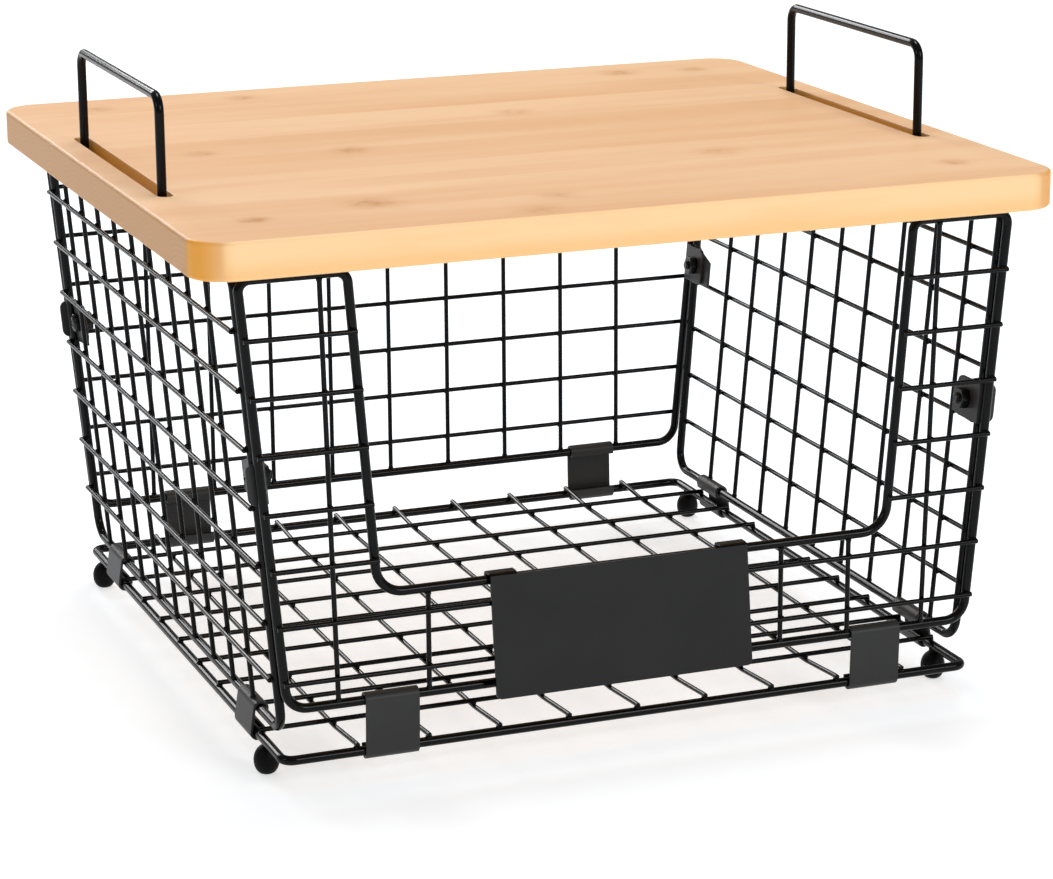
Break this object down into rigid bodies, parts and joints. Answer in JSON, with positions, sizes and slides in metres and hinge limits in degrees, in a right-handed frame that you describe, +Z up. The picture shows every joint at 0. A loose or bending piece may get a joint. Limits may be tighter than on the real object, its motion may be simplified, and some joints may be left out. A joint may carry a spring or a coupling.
{
  "type": "pantry storage bin",
  "caption": "Open-fronted welded wire basket with a hung blank name plate and a wooden lid board that drops over two wire carrying handles.",
  "frame": {"origin": "middle of the footprint, on the floor under the rubber feet", "axes": "+Z up, +X to the right as seen from the open front, +Y towards the back panel"},
  "size_m": [0.32, 0.286, 0.2329],
  "materials": {
    "wire_enamel": "satin black coating over steel wire",
    "sheet_enamel": "satin black coating over steel sheet",
    "plate_enamel": "fine matt black coating over steel sheet",
    "fastener_black": "semi-gloss black steel screws and nuts",
    "foot_rubber": "matt black moulded rubber",
    "board_wood": "clear satin lacquer over pale knotty softwood"
  },
  "bodies": {
    "basket": {"back_frame": "wire_enamel", "back_left_bracket": "sheet_enamel", "back_left_clip": "sheet_enamel", "back_left_foot": "foot_rubber", "back_left_plate": "sheet_enamel", "back_mesh": "wire_enamel", "back_right_bracket": "sheet_enamel", "back_right_clip": "sheet_enamel", "back_right_foot": "foot_rubber", "back_right_plate": "sheet_enamel", "base_depth_wires": "wire_enamel", "base_frame": "wire_enamel", "base_width_wires": "wire_enamel", "corner_nuts": "fastener_black", "corner_screws": "fastener_black", "front_frame": "wire_enamel", "front_left_bracket": "sheet_enamel", "front_left_clip": "sheet_enamel", "front_left_foot": "foot_rubber", "front_left_mesh": "wire_enamel", "front_left_plate": "sheet_enamel", "front_lower_mesh": "wire_enamel", "front_right_bracket": "sheet_enamel", "front_right_clip": "sheet_enamel", "front_right_foot": "foot_rubber", "front_right_mesh": "wire_enamel", "front_right_plate": "sheet_enamel", "left_back_clip": "sheet_enamel", "left_frame": "wire_enamel", "left_front_clip": "sheet_enamel", "left_handle": "wire_enamel", "left_mesh": "wire_enamel", "right_back_clip": "sheet_enamel", "right_frame": "wire_enamel", "right_front_clip": "sheet_enamel", "right_handle": "wire_enamel", "right_mesh": "wire_enamel"},
    "lid": {"lid_board": "board_wood"},
    "label": {"name_plate": "plate_enamel"}
  },
  "joints": [
    {"name": "lid_lift", "type": "slide", "parent": "basket", "child": "lid", "axis": [0, 0, 1], "range_m": [0, 0.055]},
    {"name": "label_lift", "type": "slide", "parent": "basket", "child": "label", "axis": [0, 0, 1], "range_m": [0, 0.03]}
  ]
}
